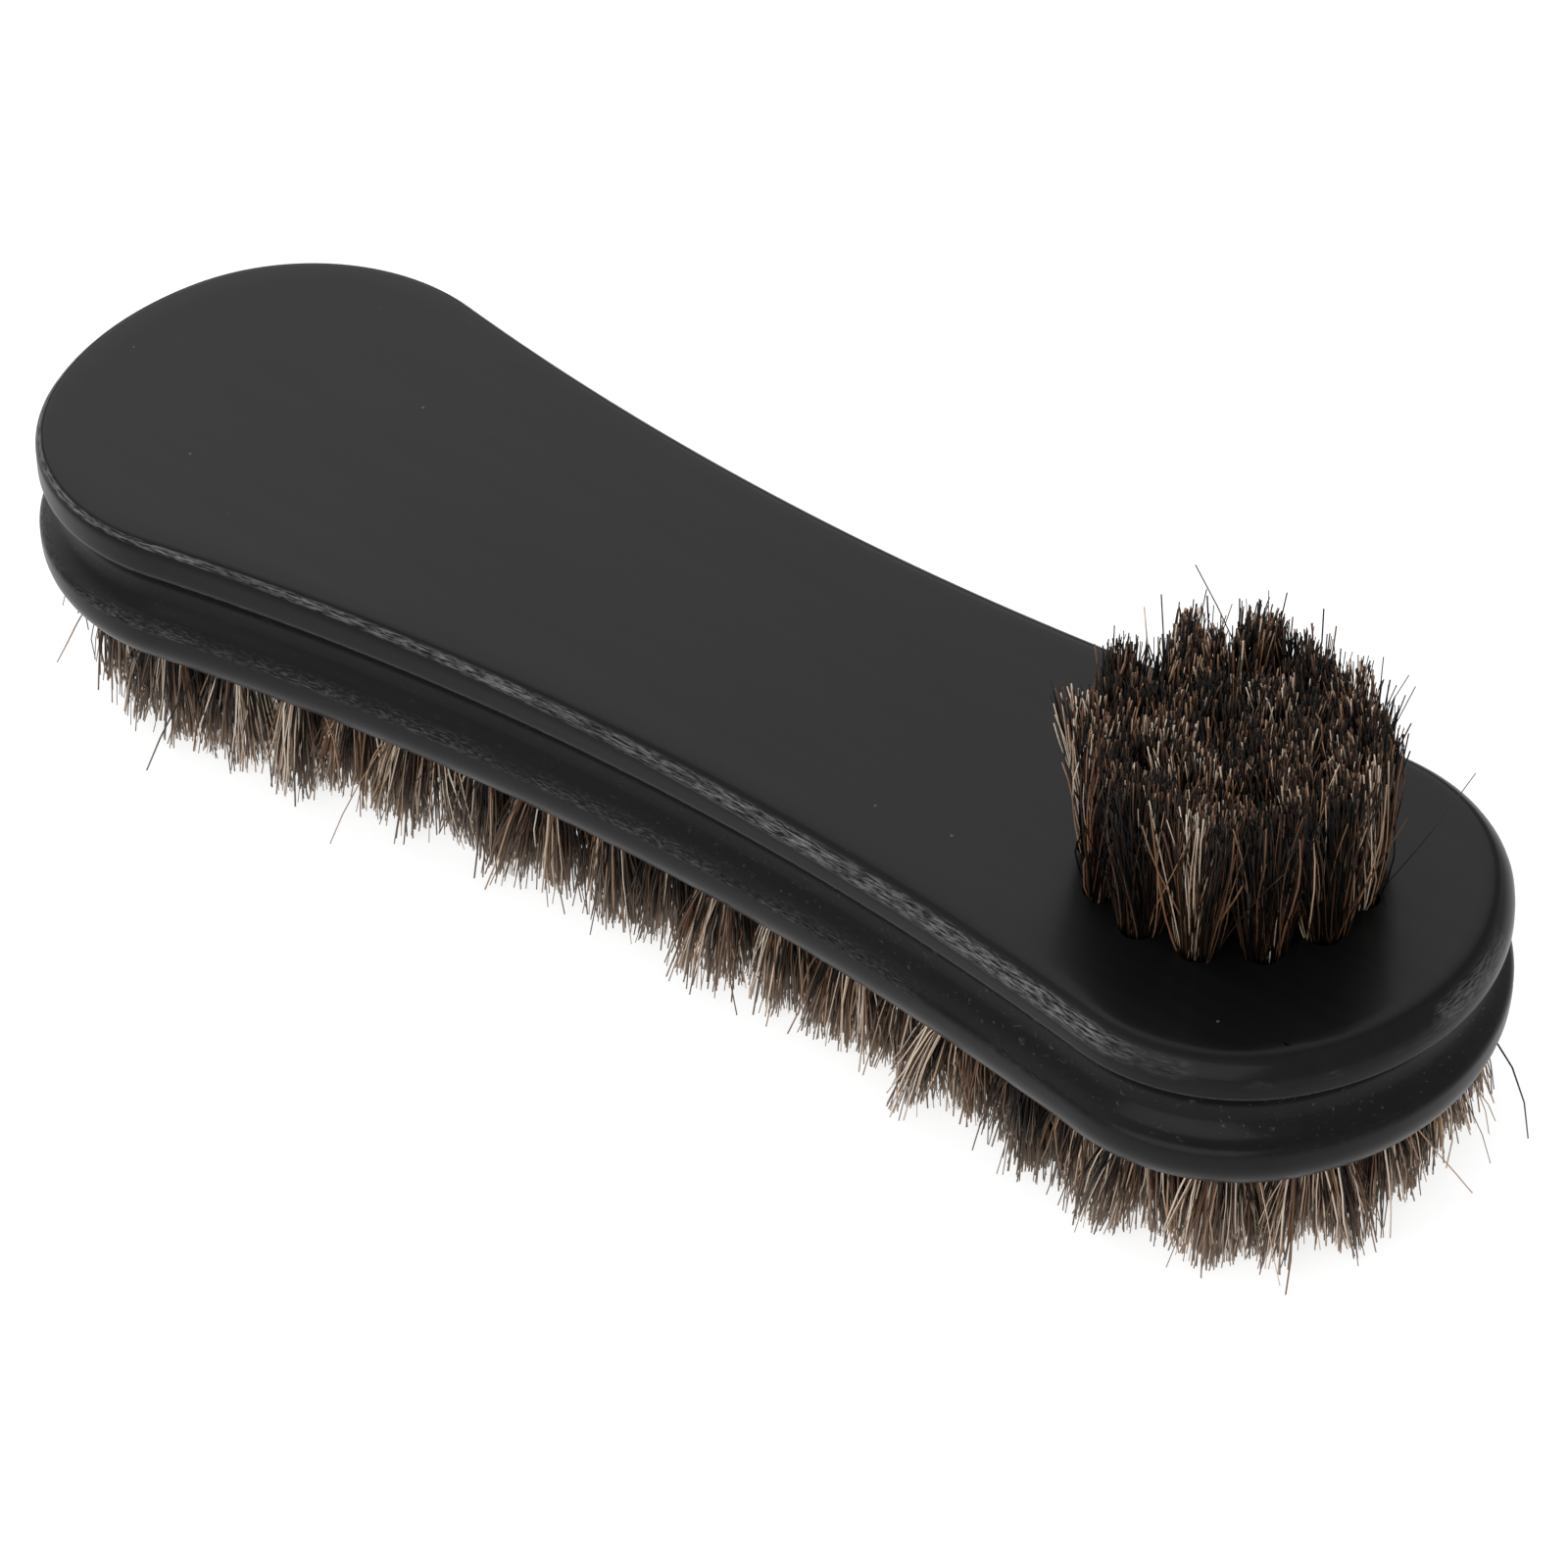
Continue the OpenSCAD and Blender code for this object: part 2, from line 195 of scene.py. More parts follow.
# The waist's arc touches both shoulders and passes the centre line at half the waist's width.
front_rise = (waist_w / 2 - front_shoulder_at.y) ** 2 - front_shoulder_r ** 2
back_rise = (waist_w / 2 - back_shoulder_at.y) ** 2 - back_shoulder_r ** 2
front_narrowing = front_w - waist_w
back_narrowing = back_w - waist_w
quad_a = back_narrowing - front_narrowing
quad_b = 2 * (front_narrowing * back_shoulder_at.x - back_narrowing * front_shoulder_at.x)
quad_c = back_narrowing * (front_shoulder_at.x ** 2 + front_rise)
quad_c -= front_narrowing * (back_shoulder_at.x ** 2 + back_rise)
waist_x = 2 * quad_c / (math.sqrt(quad_b ** 2 - 4 * quad_a * quad_c) - quad_b)
waist_r = ((waist_x - front_shoulder_at.x) ** 2 + front_rise) / front_narrowing
waist_at = Vector((waist_x, waist_w / 2 + waist_r))


def heading(start, end):
    return math.atan2(end.y - start.y, end.x - start.x)


front_waist_turn = heading(front_shoulder_at, waist_at)
back_waist_turn = heading(back_shoulder_at, waist_at)
left_arcs = [
    (front_shoulder_at, front_waist_turn - front_turn),
    (waist_at, back_waist_turn - front_waist_turn),
    (back_shoulder_at, math.pi - back_turn - back_waist_turn),
]
right_arcs = [(Vector((centre.x, -centre.y)), turn) for centre, turn in reversed(left_arcs)]
front_nose_arc = (front_nose_at, 2 * front_turn)
back_nose_arc = (back_nose_at, 2 * back_turn)
outline_arcs = [front_nose_arc, *left_arcs, back_nose_arc, *right_arcs]
side_radii = [front_shoulder_r, waist_r, back_shoulder_r]
arc_radii = [front_nose_r, *side_radii, back_nose_r, *reversed(side_radii)]

# The section is drawn upwards at the nose's first angle: out is away from the wood there.
out = Vector((math.cos(-front_turn), math.sin(-front_turn), 0))
up = Vector((0, 0, 1))
along_edge = up.cross(out)
lower_arris = Vector((front_nose_at.x, 0, underside_z)) + front_nose_r * out + lower_lip_h * up
flat_border = 6 * mm
groove_chord = groove_h * up - upper_lip_back * out
groove_out = (groove_h * out + upper_lip_back * up).normalized()
groove_r = ((groove_chord.length / 2) ** 2 + groove_depth ** 2) / (2 * groove_depth)
groove_at = lower_arris + groove_chord / 2 + groove_out * (groove_r - groove_depth)
upper_lip_h = top_z - underside_z - lower_lip_h - groove_h

# Paper has rounded the two arrises where the groove meets the lips.
arris_r = 1.0 * mm
groove_x = (groove_at - lower_arris).dot(out)
groove_z = (groove_at - lower_arris).dot(up)


def round_arris(lip_face, side):
    """The middle of the rounding between a lip's face and the groove, and the angle it turns through."""
    x = lip_face - arris_r
    z = groove_z + side * math.sqrt((groove_r + arris_r) ** 2 - (groove_x - x) ** 2)
    return x, z, math.atan2(abs(groove_z - z), groove_x - x)


lower_x, lower_z, lower_turn = round_arris(0, -1)
upper_x, upper_z, upper_turn = round_arris(-upper_lip_back, 1)


def draw_line(step, parts):
    for i in range(parts):
        bpy.ops.mesh.extrude_region_move(TRANSFORM_OT_translate={"value": step / parts})


# With no window the spin operator turns clockwise, so the turn changes its sign here.
def draw_arc(centre, axis, turn, steps):
    bpy.ops.mesh.spin(steps=steps, angle=-turn, center=centre, axis=axis)


quarter = math.radians(90)
border_steps = 3
bottom_edge_steps = 9
lower_lip_steps = 2
arris_steps = 5
groove_steps = 14
upper_lip_steps = 3
top_edge_steps = 7

# The section starts as a small plane that is merged to one point.
section_start = lower_arris - lower_lip_h * up - (bottom_edge_r + flat_border) * out
deselect_all()
bpy.ops.mesh.primitive_plane_add(size=1 * mm, location=section_start)
block = bpy.context.object
block.name = "lacquered_block"
bpy.ops.object.transform_apply(location=True)
bpy.ops.object.mode_set(mode="EDIT")
bpy.ops.mesh.merge(type="CENTER")
draw_line(flat_border * out, border_steps)
bottom_edge_at = lower_arris + (bottom_edge_r - lower_lip_h) * up - bottom_edge_r * out
draw_arc(bottom_edge_at, along_edge, -quarter, bottom_edge_steps)
draw_line((lower_lip_h - bottom_edge_r + lower_z) * up, lower_lip_steps)
draw_arc(lower_arris + lower_x * out + lower_z * up, along_edge, -lower_turn, arris_steps)
draw_arc(groove_at, along_edge, lower_turn + upper_turn, groove_steps)
draw_arc(lower_arris + upper_x * out + upper_z * up, along_edge, -upper_turn, arris_steps)
draw_line((upper_lip_h - top_edge_r - upper_z + groove_h) * up, upper_lip_steps)
top_edge_at = lower_arris + groove_chord + (upper_lip_h - top_edge_r) * up - top_edge_r * out
draw_arc(top_edge_at, along_edge, -quarter, top_edge_steps)
draw_line(-flat_border * out, border_steps)

# The section is spun round each arc of the outline in turn until it meets itself.
bpy.ops.mesh.select_all(action="SELECT")
spin_step = 1.0 * mm
same_place = 0.01 * mm
for (centre, turn), radius in zip(outline_arcs, arc_radii):
    draw_arc((centre.x, centre.y, 0), up, turn, math.ceil(abs(turn) * radius / spin_step))
bpy.ops.mesh.select_all(action="SELECT")
bpy.ops.mesh.remove_doubles(threshold=same_place)
bpy.ops.mesh.select_all(action="DESELECT")
bpy.ops.mesh.select_non_manifold()
bpy.ops.mesh.edge_face_add()
bpy.ops.mesh.select_all(action="SELECT")
bpy.ops.mesh.normals_make_consistent(inside=False)
bpy.ops.object.mode_set(mode="OBJECT")


# The top edge was rounded by hand, more and more towards the dauber: its vertices move in and down.
# The two shares give its radius at the back end and at the dauber end.
edge_least = 0.6
edge_most = 1.75
least_slope = 0.001
rounding_h = 0.999 * top_edge_r
lip_foot_z = underside_z + lower_lip_h + groove_h
for vertex in block.data.vertices:
    share = (vertex.co.x - block_low[0]) / block_len
    growth = edge_least + (edge_most - edge_least) * share - 1
    drop = top_z - vertex.co.z
    inwards = -Vector((vertex.normal.x, vertex.normal.y, 0))
    if drop < rounding_h:
        rise = 1 - drop / top_edge_r
        if inwards.length > least_slope:
            reach = top_edge_r * (1 - math.sqrt(1 - rise ** 2))
            vertex.co += inwards.normalized() * reach * growth
        vertex.co.z -= drop * growth
    elif vertex.co.z > lip_foot_z + same_place:
        vertex.co.z -= (vertex.co.z - lip_foot_z) / (upper_lip_h - top_edge_r) * top_edge_r * growth

# The finished block is drilled for its tufts.
sole_hole_r = 1.9 * mm
dauber_hole_r = 1.8 * mm
hole_depth = 7 * mm
hole_sides = 24
root_slack = 0.1 * mm
smooth_below = math.radians(32)


def tuft_rings(node, foot_z):
    """The middle of each tuft's root in a CAD node, from the ring of corners at its foot."""
    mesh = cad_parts[node].data
    corners = np.empty(len(mesh.vertices) * 3)
    mesh.vertices.foreach_get("co", corners)
    corners = corners.reshape(-1, 3)
    feet = corners[np.abs(corners[:, 2] - foot_z) < root_slack][:, :2]
    places = []
    while len(feet):
        near = np.hypot(*(feet - feet[0]).T) < 2 * sole_hole_r
        ring = np.unique(np.round(feet[near], 7), axis=0)
        places.append(ring.mean(axis=0))
        feet = feet[~near]
    return np.array(places)


OUTLINE_PARTS = [
    "front_nose", "front_left", "waist_left", "back_left",
    "back_nose", "back_right", "waist_right", "front_right",
]
outer_nodes = ["sole_outer_row_" + part for part in OUTLINE_PARTS]
inner_nodes = ["sole_second_row_" + part for part in OUTLINE_PARTS]
inner_nodes += ["sole_centre_row_" + part for part in ("front", "waist", "back")]
dauber_nodes = sorted(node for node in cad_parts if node.startswith("dauber_tuft_"))
sole_foot_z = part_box(outer_nodes[0])[1][2]
dauber_foot_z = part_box(dauber_nodes[0])[0][2]
tufts = {node: tuft_rings(node, sole_foot_z) for node in outer_nodes + inner_nodes}
tufts.update({node: tuft_rings(node, dauber_foot_z) for node in dauber_nodes})


def drill(nodes, radius, mouth_z, way):
    """Makes one drill bit for each tuft of the nodes and cuts them all out of the block."""
    deselect_all()
    clear = 1 * mm
    bit_len = hole_depth + clear
    middle_z = mouth_z + way * (clear - hole_depth) / 2
    bits = []
    for x, y in np.concatenate([tufts[node] for node in nodes]):
        bpy.ops.mesh.primitive_cylinder_add(
            vertices=hole_sides, radius=radius, depth=bit_len, location=(x, y, middle_z))
        bits.append(bpy.context.object)
    for bit in bits:
        bit.select_set(True)
    bpy.ops.object.join()
    joined = bpy.context.object
    deselect_all()
    bpy.context.view_layer.objects.active = block
    cut = block.modifiers.new("drill", "BOOLEAN")
    cut.object = joined
    cut.solver = "EXACT"
    bpy.ops.object.modifier_apply(modifier=cut.name)
    bpy.data.objects.remove(joined)


drill(outer_nodes + inner_nodes, sole_hole_r, underside_z, -1)
drill(dauber_nodes, dauber_hole_r, top_z, 1)
deselect_all()
block.select_set(True)
bpy.context.view_layer.objects.active = block
bpy.ops.object.shade_smooth_by_angle(angle=smooth_below)


def outline_run(x, y):
    """How far round the outline each point lies and how far inside it, and the outline's whole length."""
    run = np.zeros_like(x)
    inside = np.full_like(x, block_len)
    facing = -front_turn
    length = 0
    margin = 0.001
    for (centre, turn), radius in zip(outline_arcs, arc_radii):
        way = math.copysign(1, turn)
        across_x, across_y = way * (x - centre.x), way * (y - centre.y)
        swept = (way * (np.arctan2(across_y, across_x) - facing) + margin) % (2 * math.pi) - margin
        depth = way * (radius - np.hypot(across_x, across_y))
        nearest = (swept <= abs(turn) + margin) & (np.abs(depth) < np.abs(inside))
        run = np.where(nearest, length + radius * swept, run)
        inside = np.where(nearest, depth, inside)
        facing += turn
        length += radius * abs(turn)
    return run, inside, length


# Sanding scratches follow the edge, so each face corner holds how far round the outline it lies, how
# far inside it, and its height.
wood = block.data
spots = np.empty(len(wood.vertices) * 3)
wood.vertices.foreach_get("co", spots)
spots = spots.reshape(-1, 3)
corner_spots = np.empty(len(wood.loops), dtype=int)
wood.loops.foreach_get("vertex_index", corner_spots)
face_starts = np.empty(len(wood.polygons), dtype=int)
wood.polygons.foreach_get("loop_start", face_starts)
face_sides = np.empty(len(wood.polygons), dtype=int)
wood.polygons.foreach_get("loop_total", face_sides)
run, inside, outline_len = outline_run(spots[:, 0], spots[:, 1])
run = run[corner_spots]
run -= outline_len * np.round((run - run[np.repeat(face_starts, face_sides)]) / outline_len)
edge_places = np.stack([run, inside[corner_spots], spots[corner_spots, 2]], axis=-1)
edge_run = wood.attributes.new("edge_run", "FLOAT_VECTOR", "CORNER")
edge_run.data.foreach_set("vector", edge_places.ravel())

lacquer, shader, nodes, links = new_material("black_lacquer")
shader.inputs["Specular IOR Level"].default_value = 0.09
shader.inputs["Coat Weight"].default_value = 0.1
shader.inputs["Coat Roughness"].default_value = 0.16
place = nodes.new("ShaderNodeTexCoord")


def grain_noise(scale, detail, source=None):
    """Noise stretched along the grain: scale is its features per metre along, across and upwards."""
    mapping = nodes.new("ShaderNodeMapping")
    mapping.inputs["Scale"].default_value = scale
    links.new(source or place.outputs["Object"], mapping.inputs["Vector"])
    noise = nodes.new("ShaderNodeTexNoise")
    noise.inputs["Scale"].default_value = 1
    noise.inputs["Detail"].default_value = detail
    noise.inputs["Roughness"].default_value = 0.6
    links.new(mapping.outputs["Vector"], noise.inputs["Vector"])
    return noise.outputs["Fac"]


def combine(operation, a, b):
    node = nodes.new("ShaderNodeMath")
    node.operation = operation
    for socket, value in zip(node.inputs, (a, b)):
        if isinstance(value, (int, float)):
            socket.default_value = value
        else:
            links.new(value, socket)
    return node.outputs["Value"]


def times(a, b):
    return combine("MULTIPLY", a, b)


def larger(a, b):
    return combine("MAXIMUM", a, b)


def blend_colours(factor, a, b):
    node = nodes.new("ShaderNodeMix")
    node.data_type = "RGBA"
    links.new(factor, node.inputs["Factor"])
    for socket, value in ((node.inputs["A"], a), (node.inputs["B"], b)):
        if isinstance(value, tuple):
            socket.default_value = value
        else:
            links.new(value, socket)
    return node.outputs["Result"]


def band(value, low, low_full, high_full, high):
    """1 where the value is between the two full limits, fading to 0 at the outer two."""
    return times(ramp(value, low, low_full), ramp(value, high, high_full))


# Noise of several grains, some in the block's own directions and some along its edge.
block_spot = nodes.new("ShaderNodeSeparateXYZ")
links.new(place.outputs["Object"], block_spot.inputs["Vector"])
along = block_spot.outputs["X"]
height = block_spot.outputs["Z"]
edge_place = nodes.new("ShaderNodeAttribute")
edge_place.attribute_name = "edge_run"
scratches = grain_noise((650, 6500, 6500), 4, edge_place.outputs["Vector"])
short_scratches = grain_noise((1100, 7500, 7500), 3, edge_place.outputs["Vector"])
fibres = grain_noise((300, 9000, 9000), 6)
pitting = grain_noise((1300, 1900, 1900), 4)
figure = grain_noise((25, 420, 420), 3)
blotches = grain_noise((55, 90, 90), 2)

# The rounded top edge has a pale, scratched band, which widens towards the dauber: partly worn grain
# and partly a painted highlight of the softbox, which fades out round the front nose as painted shade,
# where the edge faces away from the light. Its depth is measured in shares of the rounding.
top_band_limits = (0.09, 0.17, 0.4, 0.56)
crease_at = (0.01, 0.05, 0.1, 0.16)
widening = ramp(along, -60 * mm, 20 * mm, 1.15, 0.62)
edge_reach = ramp(along, block_low[0], block_high[0], edge_least * top_edge_r, edge_most * top_edge_r)
edge_depth = combine("DIVIDE", combine("SUBTRACT", top_z, height), edge_reach)
crease = band(edge_depth, *crease_at)
# Painted shade: the pale band is dimmed round the front nose, which faces away from the light.
nose_out_of_light = times(band(along, 61 * mm, 67 * mm, 85 * mm, 89 * mm), 0.85)
strength = combine("SUBTRACT", ramp(blotches, 0.3, 0.5, 0.45, 1), nose_out_of_light)
torn_and_highlit_top = times(times(band(times(edge_depth, widening), *top_band_limits), ramp(scratches, 0.42, 0.6)), strength)

# The lower lip's arris has pale scratches towards the back end, partly worn grain and partly a
# painted highlight where it faces up to the light; a thin painted reflection of the floor runs along
# its bottom edge.
lower_arris_band = (-0.8 * mm, -0.4 * mm, 0.0 * mm, 0.6 * mm)
bottom_reflection_band = (0.8 * mm, 1.1 * mm, 1.45 * mm, 1.7 * mm)
above_lip = combine("SUBTRACT", height, underside_z + lower_lip_h)
above_bottom = [underside_z + limit for limit in bottom_reflection_band]
worn_patches = ramp(blotches, 0.38, 0.55)
back_share = ramp(along, 10 * mm, 60 * mm, 1, 0.1)
torn_and_highlit_lip = times(times(band(above_lip, *lower_arris_band), ramp(short_scratches, 0.46, 0.64)), worn_patches)
torn_and_highlit_lip = times(torn_and_highlit_lip, back_share)
# Painted reflection of the floor: a thin pale line along the bottom rounding.
painted_bottom_reflection = times(band(height, *above_bottom), ramp(short_scratches, 0.35, 0.6, 0.2, 0.7))
torn_and_highlit_lip = larger(torn_and_highlit_lip, painted_bottom_reflection)

# Pits lie in the groove, more of them towards the dauber, and the upper lip's arris is rubbed.
groove_inside = (0.1 * mm, 0.6 * mm, groove_h - 1.2 * mm, groove_h - 0.4 * mm)
upper_arris_worn = (groove_h - 0.3 * mm, groove_h - 0.05 * mm, groove_h + 0.15 * mm, groove_h + 0.45 * mm)
front_share = ramp(along, -20 * mm, 50 * mm, 0.15, 0.8)
pits = times(times(band(above_lip, *groove_inside), ramp(pitting, 0.62, 0.7)), front_share)
rubbed = times(band(above_lip, *upper_arris_worn), ramp(pitting, 0.35, 0.65, 0.08, 0.3))
torn_and_highlit = larger(larger(larger(torn_and_highlit_top, times(torn_and_highlit_lip, 0.4)), times(pits, 0.35)), rubbed)

# Specks of dust lie all over, each a small dot about the middle of a cell.
specks_per_metre = 150
dust = nodes.new("ShaderNodeTexVoronoi")
dust.inputs["Scale"].default_value = specks_per_metre
links.new(place.outputs["Object"], dust.inputs["Vector"])
specks = ramp(dust.outputs["Distance"], 0.028, 0.014, 0, 0.6)

STAIN = (0.003, 0.003, 0.0031, 1)
THIN_STAIN = (0.0045, 0.0044, 0.0043, 1)
PALE_WOOD_AND_HIGHLIGHT = (0.13, 0.13, 0.128, 1)
stain = blend_colours(ramp(figure, 0.35, 0.7), STAIN, THIN_STAIN)
# The pale colour shows worn grain, pits, rubbed arrises and dust, and also paints the highlights on the top
# edge and the lower lip.
links.new(blend_colours(larger(torn_and_highlit, specks), stain, PALE_WOOD_AND_HIGHLIGHT), shader.inputs["Base Color"])
gloss = ramp(combine("ADD", blotches, times(fibres, 0.08)), 0.3, 0.9, 0.3, 0.38)
links.new(larger(gloss, times(larger(torn_and_highlit, crease), 0.8)), shader.inputs["Roughness"])
relief = nodes.new("ShaderNodeBump")
relief.inputs["Distance"].default_value = 0.12 * mm
relief.inputs["Strength"].default_value = 0.8
links.new(combine("ADD", times(fibres, 0.02), torn_and_highlit), relief.inputs["Height"])
links.new(relief.outputs["Normal"], shader.inputs["Normal"])
block.data.materials.clear()
block.data.materials.append(lacquer)
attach(block, "root")
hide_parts("handle_block")


# Wire anchors: a short piece of flat steel wire, driven in on edge with each tuft, holds it by its fold.
steel, shader, nodes, links = new_material("flat_wire")
shader.inputs["Metallic"].default_value = 1
place = nodes.new("ShaderNodeTexCoord")
drawn = grain_noise((9000, 900, 900), 2)
links.new(ramp(drawn, 0.3, 0.7, 0.28, 0.45), shader.inputs["Roughness"])
DULL_STEEL = (0.5, 0.49, 0.48, 1)
BRIGHT_STEEL = (0.68, 0.67, 0.65, 1)
links.new(blend_colours(drawn, DULL_STEEL, BRIGHT_STEEL), shader.inputs["Base Color"])
for node in ("sole_wire_anchors", "dauber_wire_anchors"):
    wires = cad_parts[node].data
    wires.materials.clear()
    wires.materials.append(steel)


# The sole: horsehair in its natural mix of black, brown and grey. Each tuft is a pinch of hair that is
# doubled over its anchor, so it leaves its hole as two locks and fans out into small sheaves. The tips
# are trimmed roughly level, and the longest carry the brush.

# A tone runs from 0, the darkest hair, to 1, the lightest.
WARM_TONES = [
    (0.00, (0.0015, 0.001, 0.001, 1)),
    (0.32, (0.003, 0.002, 0.0015, 1)),
    (0.48, (0.022, 0.011, 0.006, 1)),
    (0.62, (0.07, 0.034, 0.019, 1)),
    (0.76, (0.18, 0.088, 0.046, 1)),
    (0.88, (0.38, 0.25, 0.16, 1)),
    (1.00, (0.62, 0.52, 0.42, 1)),
]
GREY_TONES = [
    (0.00, (0.0015, 0.0013, 0.0012, 1)),
    (0.32, (0.004, 0.003, 0.0025, 1)),
    (0.48, (0.022, 0.015, 0.011, 1)),
    (0.62, (0.055, 0.038, 0.028, 1)),
    (0.76, (0.14, 0.10, 0.075, 1)),
    (0.88, (0.34, 0.28, 0.22, 1)),
    (1.00, (0.62, 0.56, 0.48, 1)),
]
# Painted glow: the pale colour that the tips are blended towards, for light shining through them.
TIP_GLOW = (0.5, 0.37, 0.27, 1)

# A strand's tone runs across its map and its length up it: towards the tip the hair is painted paler,
# a painted glow for light shining through the thin tips. The hair is a mix of warm and grey locks, with
# more warm ones towards the dauber.
horsehair, shader, nodes, links = new_material("horsehair")
shader.inputs["Roughness"].default_value = 0.45
shader.inputs["Specular IOR Level"].default_value = 0.2
strand_map = nodes.new("ShaderNodeUVMap")
strand_map.uv_map = "OFBake"
strand = nodes.new("ShaderNodeSeparateXYZ")
links.new(strand_map.outputs["UV"], strand.inputs["Vector"])


def tone_colours(palette):
    tones = nodes.new("ShaderNodeValToRGB")
    links.new(strand.outputs["X"], tones.inputs["Fac"])
    stops = tones.color_ramp.elements
    stops[0].color = palette[0][1]
    stops[1].position, stops[1].color = palette[-1]
    for position, colour in palette[1:-1]:
        stops.new(position).color = colour
    return tones.outputs["Color"]


locks_per_metre = 110
most_tip_glow = 0.33
place = nodes.new("ShaderNodeTexCoord")
drift = nodes.new("ShaderNodeTexNoise")
drift.inputs["Scale"].default_value = locks_per_metre
drift.inputs["Detail"].default_value = 1
links.new(place.outputs["Object"], drift.inputs["Vector"])
hair_spot = nodes.new("ShaderNodeSeparateXYZ")
links.new(place.outputs["Object"], hair_spot.inputs["Vector"])
towards_dauber = ramp(hair_spot.outputs["X"], block_low[0], block_high[0], 0.04, 0.26)
warmth = ramp(combine("ADD", drift.outputs["Fac"], towards_dauber), 0.35, 0.65)
natural_hair = blend_colours(warmth, tone_colours(GREY_TONES), tone_colours(WARM_TONES))
# The painted glow grows over the top part of each strand's length on the map.
tip_glow = ramp(strand.outputs["Y"], 0.55, 1.0, 0.0, most_tip_glow)
links.new(blend_colours(tip_glow, natural_hair, TIP_GLOW), shader.inputs["Base Color"])

# Each strand's faces lie inside one of the map's cells of equal tone, CELL_REACH to each side of its
# middle. They start at ROOT_V, and the root's and the tip's own faces are END_V high.
TONE_COUNT = 48
CELL_REACH = 0.3
ROOT_V = 0.02
END_V = 0.015
chance = np.random.default_rng(11)


def hair_piece(name, paths, radii, tones, way, tip_v):
    """One mesh of three-sided strands: paths holds each one's points from root to tip, way is +1 or -1."""
    strands, rings = paths.shape[:2]
    corner_turn = np.arange(3) * 2 * math.pi / 3 + chance.uniform(0, 2 * math.pi, (strands, 1))
    corner = np.stack([np.cos(corner_turn), np.sin(corner_turn), np.zeros_like(corner_turn)], axis=-1)
    points = paths[:, :, None, :] + radii[:, :, None, None] * corner[:, None, :, :]
    first = np.arange(strands)[:, None, None] * rings * 3
    ring = np.arange(rings - 1)[None, :, None] * 3
    side = np.arange(3)[None, None, :]
    following = (side + 1) % 3
    corners = [ring + side, ring + following, ring + 3 + following, ring + 3 + side]
    walls = np.stack([first + corner_at for corner_at in corners], axis=-1)
    ends = np.stack([first[:, 0] + [2, 1, 0], first[:, 0] + (rings - 1) * 3 + [0, 1, 2]], axis=1)
    across = np.array([-CELL_REACH, 0.0, CELL_REACH]) / TONE_COUNT
    cells = (np.clip((tones * TONE_COUNT).astype(int), 0, TONE_COUNT - 1) + 0.5) / TONE_COUNT
    length = np.linspace(ROOT_V, tip_v, rings)
    wall_map = np.empty(walls.shape + (2,))
    wall_across = across[np.stack([side, following, following, side], axis=-1)]
    wall_map[..., 0] = cells[:, None, None, None] + wall_across
    wall_map[..., 1] = (length[:-1][:, None] + np.diff(length)[:, None] * [0, 0, 1, 1])[None, :, None, :]
    end_map = np.empty(ends.shape + (2,))
    end_map[..., 0] = cells[:, None, None] + across
    end_map[..., 1] = np.array([[ROOT_V], [tip_v - ROOT_V]]) + [0, END_V, 0]
    if way < 0:
        walls, wall_map = walls[..., ::-1], wall_map[..., ::-1, :]
        ends, end_map = ends[..., ::-1], end_map[..., ::-1, :]
    faces = walls.reshape(-1, 4).tolist() + ends.reshape(-1, 3).tolist()
    mesh = bpy.data.meshes.new(name)
    mesh.from_pydata(points.reshape(-1, 3).tolist(), [], faces)
    strand_map = mesh.uv_layers.new(name="OFBake")
    strand_map.data.foreach_set("uv", np.concatenate([wall_map.ravel(), end_map.ravel()]))
    mesh.polygons.foreach_set("use_smooth", np.ones(len(mesh.polygons), dtype=bool))
    mesh.materials.append(horsehair)
    piece = bpy.data.objects.new(name, mesh)
    bpy.context.collection.objects.link(piece)
    return piece


def in_disc(radius, count):
    turn = chance.uniform(0, 2 * math.pi, count)
    reach = radius * np.sqrt(chance.uniform(0, 1, count))
    return np.stack([reach * np.cos(turn), reach * np.sin(turn)], axis=-1)


# A tuft's hairs stand in sheaves, each drawn towards its own middle, and a few stray or curl. The two
# locks lie at each side of the fold, whose direction varies by FOLD_SCATTER radians.
SHEAVES = 9
SHEAF_PULL = 0.4
STRAY_SHARE = 0.03
STRAY_SCATTER = 3.2 * mm
CURLY_SHARE = 0.015
CURLY_BOW = 4
ROOT_DEPTH = 2 * mm
LOCK_R = 0.9 * mm
LOCK_OFFSET = 0.85 * mm
FOLD_SCATTER = 0.4


